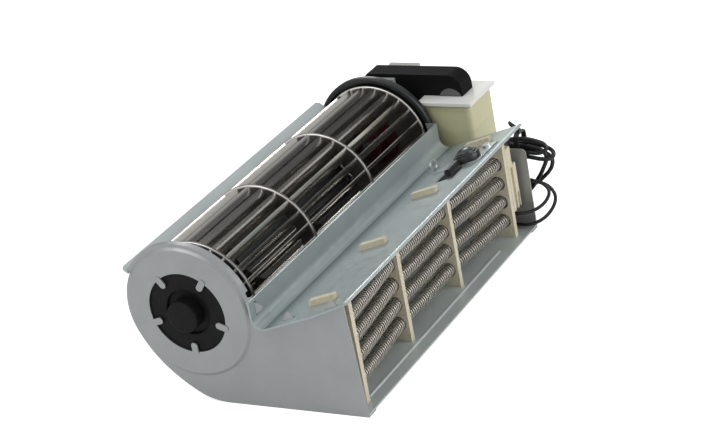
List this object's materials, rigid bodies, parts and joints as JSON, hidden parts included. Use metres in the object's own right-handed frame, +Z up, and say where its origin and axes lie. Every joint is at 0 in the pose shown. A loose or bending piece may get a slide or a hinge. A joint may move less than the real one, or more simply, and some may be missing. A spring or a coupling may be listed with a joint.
{
  "type": "tangential fan heater",
  "caption": "Tangential (cross-flow) fan heater: long blower wheel in a sheet-metal scroll with ceramic-held heating coils in its outlet, thermal cut-out, and motor at one end.",
  "frame": {"origin": "middle of the base, below the middle of the body without its leads", "axes": "+X out of the air outlet, +Y along the fan axis towards the motor, +Z up"},
  "size_m": [0.1311, 0.2408, 0.0808],
  "materials": {
    "galvanised_steel": "satin",
    "zinc_plated": "satin",
    "impeller_sheet": "satin",
    "mount_rubber": "matte",
    "black_plastic": "satin",
    "core_lacquer": "satin",
    "limb_steel": "satin",
    "bobbin_plastic": "satin",
    "winding_tape": "satin",
    "copper": "satin",
    "ceramic": "matte",
    "heater_wire": "satin",
    "brass": "satin",
    "lead_insulation": "satin",
    "rotor_steel": "satin"
  },
  "bodies": {
    "root": {"scroll_sheet": "galvanised_steel", "top_plate": "galvanised_steel", "bearing_end_plate": "galvanised_steel", "motor_end_plate": "galvanised_steel", "rubber_bearing_mount": "mount_rubber", "bearing_bush": "brass", "motor_carrier": "black_plastic", "carrier_screws": "zinc_plated", "stator_core": "core_lacquer", "coil_limb": "limb_steel", "bobbin": "bobbin_plastic", "winding": "winding_tape", "shading_rings": "copper", "near_bracket": "zinc_plated", "far_bracket": "zinc_plated", "near_motor_bearing": "brass", "far_motor_bearing": "brass", "core_bolts": "zinc_plated", "core_nuts": "zinc_plated", "motor_screws": "zinc_plated", "heater_support_1": "ceramic", "heater_support_2": "ceramic", "heater_support_3": "ceramic", "heater_support_4": "ceramic", "heating_coils": "heater_wire", "coil_links": "heater_wire", "terminal_insulator": "ceramic", "lead_terminals": "brass", "earth_tag": "brass", "earth_screw": "zinc_plated", "cutout_strap": "galvanised_steel", "thermal_cutout": "black_plastic", "cutout_cap": "zinc_plated", "strap_screw": "zinc_plated", "thermal_link": "lead_insulation", "lead_connector": "black_plastic", "connector_screw": "zinc_plated", "clamp_screws": "brass", "upper_lead": "lead_insulation", "motor_lead": "lead_insulation", "hank_strand_near": "lead_insulation", "hank_strand_far": "lead_insulation", "heater_lead": "lead_insulation", "earth_lead": "lead_insulation", "lead_hank": "lead_insulation", "hank_tie": "black_plastic"},
    "wheel": {"rotor_shaft": "rotor_steel", "rotor": "rotor_steel", "bearing_end_disc": "impeller_sheet", "middle_ring_near": "impeller_sheet", "middle_ring_far": "impeller_sheet", "motor_end_disc": "impeller_sheet", "impeller_blades": "impeller_sheet", "impeller_hub": "black_plastic", "grub_screw": "zinc_plated", "stub_shaft": "rotor_steel"}
  },
  "joints": [
    {"name": "wheel_spin", "type": "hinge", "parent": "root", "child": "wheel", "pos_m": [-0.0253, 0, 0.0463], "axis": [0, 1, 0], "continuous": true}
  ]
}
